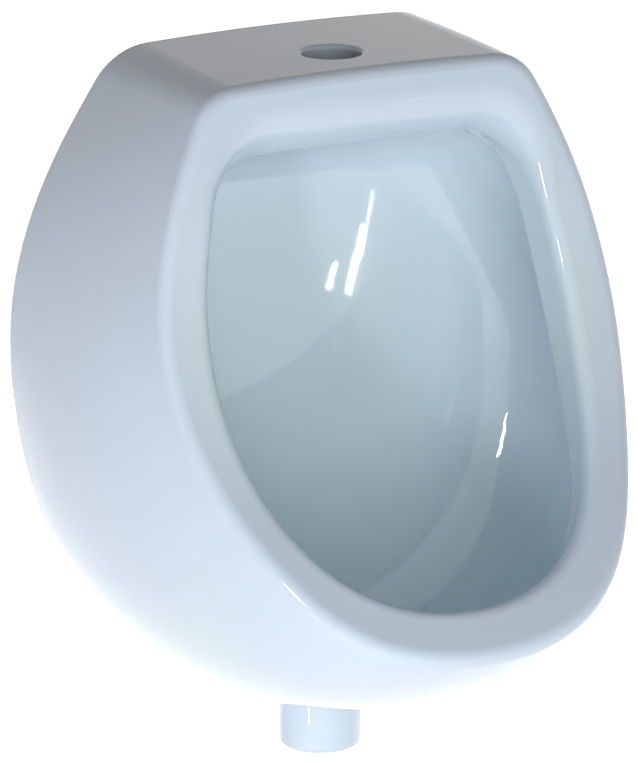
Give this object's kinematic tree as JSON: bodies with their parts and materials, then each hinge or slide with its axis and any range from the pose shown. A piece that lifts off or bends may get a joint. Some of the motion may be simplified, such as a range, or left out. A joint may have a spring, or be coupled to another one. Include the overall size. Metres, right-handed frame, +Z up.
{
  "type": "wall hung urinal",
  "caption": "White glazed vitreous china wall hung urinal with a curved rolled rim, top inlet hole, bottom outlet spigot, flush spreader, lift-out strainer and wall hangers.",
  "frame": {"origin": "on the wall plane, midway between the two fixing screws of the hangers", "axes": "+Z up, +Y into the wall, -Y towards the user, +X to the right as the user faces it"},
  "size_m": [0.3496, 0.3335, 0.434],
  "materials": {
    "china": "glossy white glaze",
    "zinc_steel": "bright zinc plated",
    "screw_steel": "zinc plated",
    "black_rubber": "matt",
    "grey_nylon": "matt",
    "chrome": "polished",
    "brass": "turned",
    "stainless": "brushed"
  },
  "bodies": {
    "wall_fixings": {"hanger_left": "zinc_steel", "hanger_right": "zinc_steel", "hook_pad_left": "black_rubber", "hook_pad_right": "black_rubber", "hanger_screws": "screw_steel", "hanger_washers": "screw_steel", "wall_plugs": "grey_nylon"},
    "urinal": {"ceramic_body": "china", "spreader_gasket": "black_rubber", "spreader_head": "chrome", "spreader_tail": "brass", "spreader_seal": "black_rubber", "spreader_nut": "brass"},
    "strainer": {"strainer_ring": "black_rubber", "strainer_cap": "stainless", "strainer_legs": "stainless", "strainer_rivet": "stainless"}
  },
  "joints": [
    {"name": "lift_off", "type": "slide", "parent": "wall_fixings", "child": "urinal", "axis": [0, 0, 1], "range_m": [0, 0.014]},
    {"name": "strainer_lift", "type": "slide", "parent": "urinal", "child": "strainer", "axis": [0, 0, 1], "range_m": [0, 0.025]}
  ]
}
